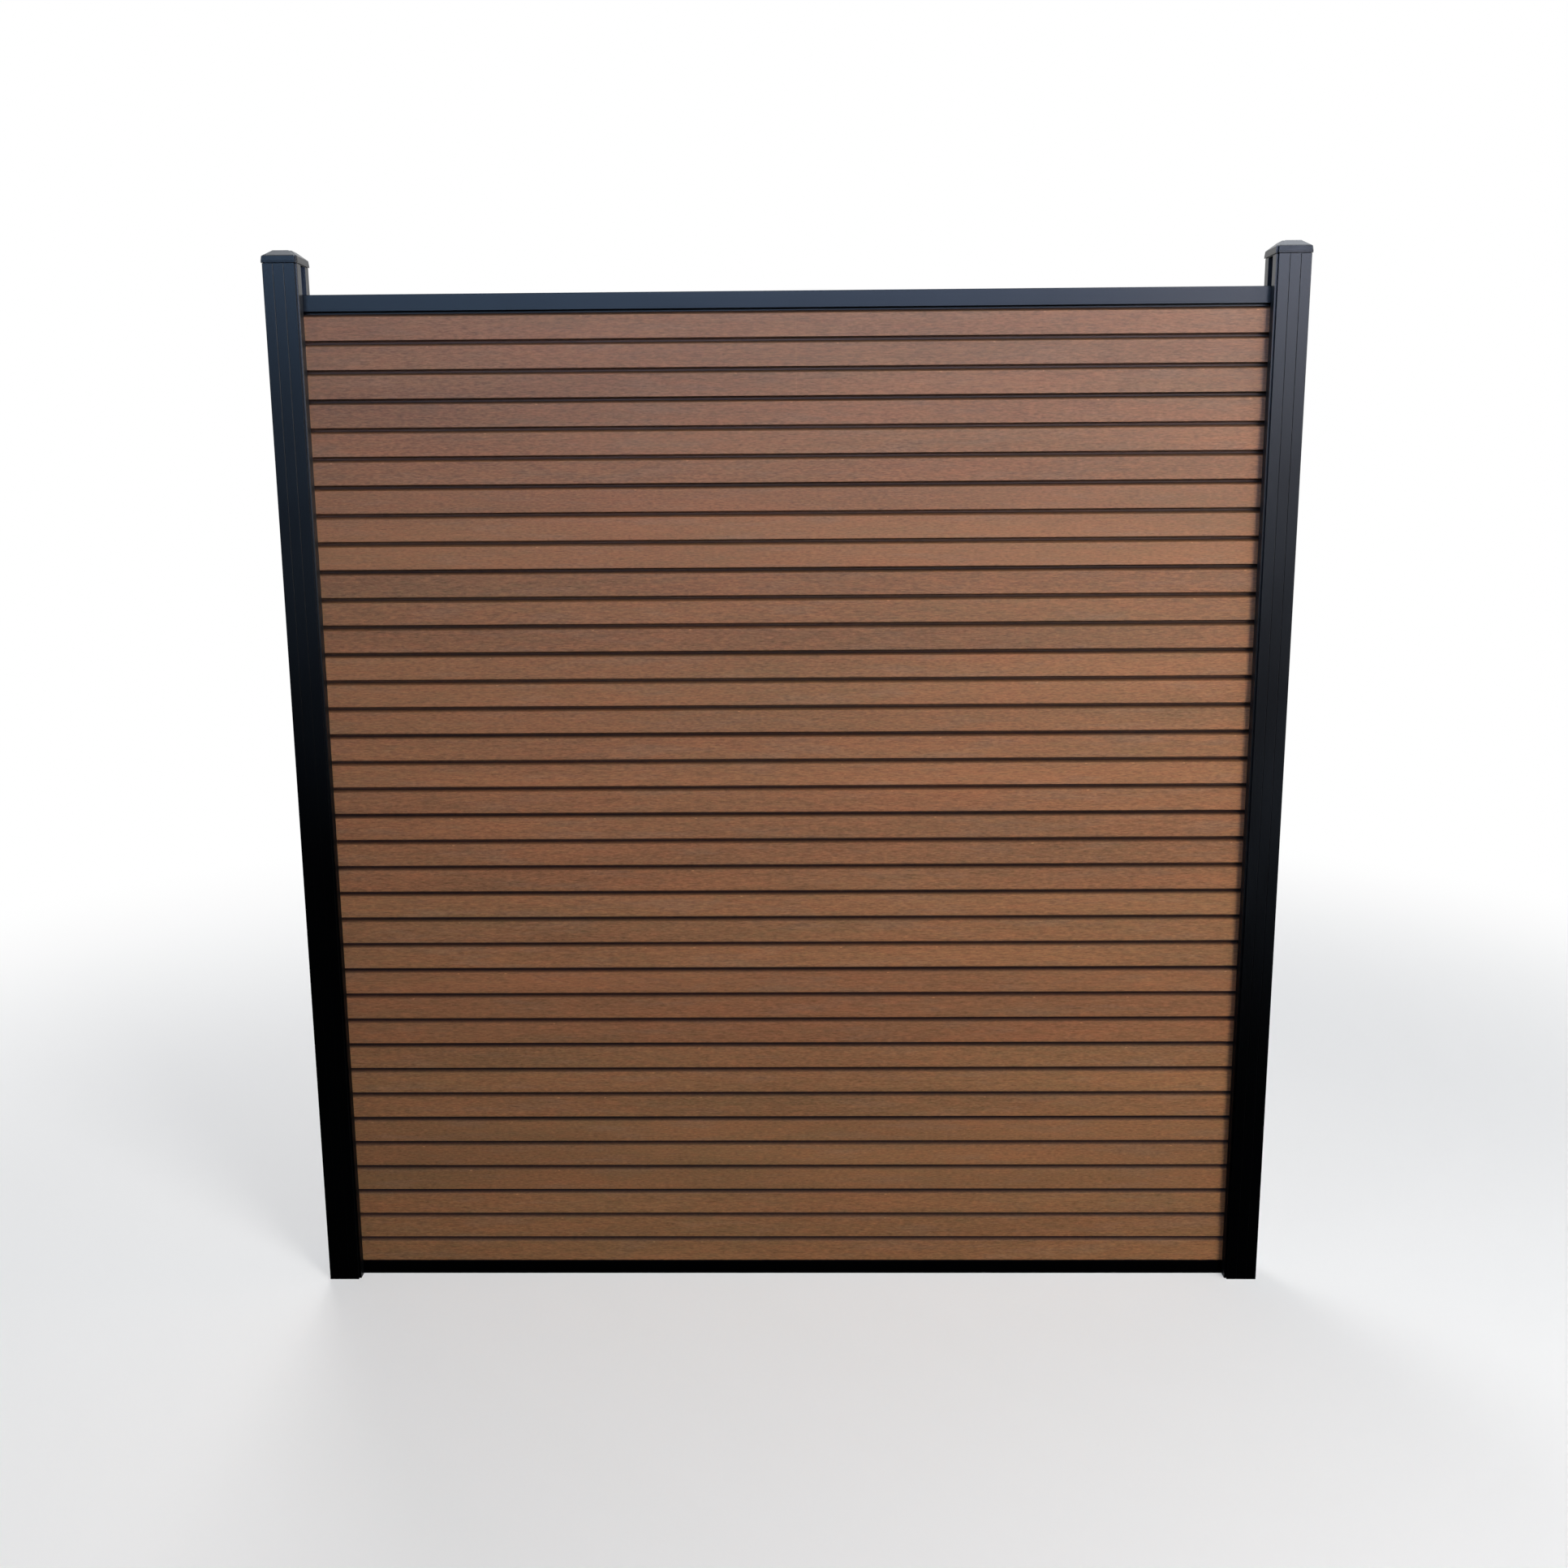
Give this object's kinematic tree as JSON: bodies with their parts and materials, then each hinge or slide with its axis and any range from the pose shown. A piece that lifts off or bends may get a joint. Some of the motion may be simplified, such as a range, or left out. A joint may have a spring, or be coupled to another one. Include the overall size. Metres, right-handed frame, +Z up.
{
  "type": "rhombus slat fence panel",
  "caption": "Privacy fence panel of stacked composite boards with rhombus slats, held between slotted square posts with caps, under a flat top rail and over a bottom rail.",
  "frame": {"origin": "on the ground, midway between the posts and in the middle of their depth", "axes": "+X along the fence to the right as seen from the front, +Y from the front to the back, +Z up"},
  "size_m": [1.8032, 0.0646, 1.93],
  "materials": {
    "board": "matt wood and plastic composite with a fine wood grain",
    "post": "satin anthracite powder coat on aluminium",
    "rail": "satin anthracite powder coat on aluminium",
    "cap": "moulded anthracite plastic",
    "screw": "anthracite coated steel"
  },
  "bodies": {
    "root": {"board_01": "board", "board_02": "board", "board_03": "board", "board_04": "board", "board_05": "board", "board_06": "board", "board_07": "board", "board_08": "board", "board_09": "board", "board_10": "board", "board_11": "board", "board_12": "board", "bottom_rail": "rail", "top_rail": "rail", "left_post": "post", "right_post": "post", "left_post_cap": "cap", "right_post_cap": "cap", "rail_screws": "screw"}
  },
  "joints": []
}
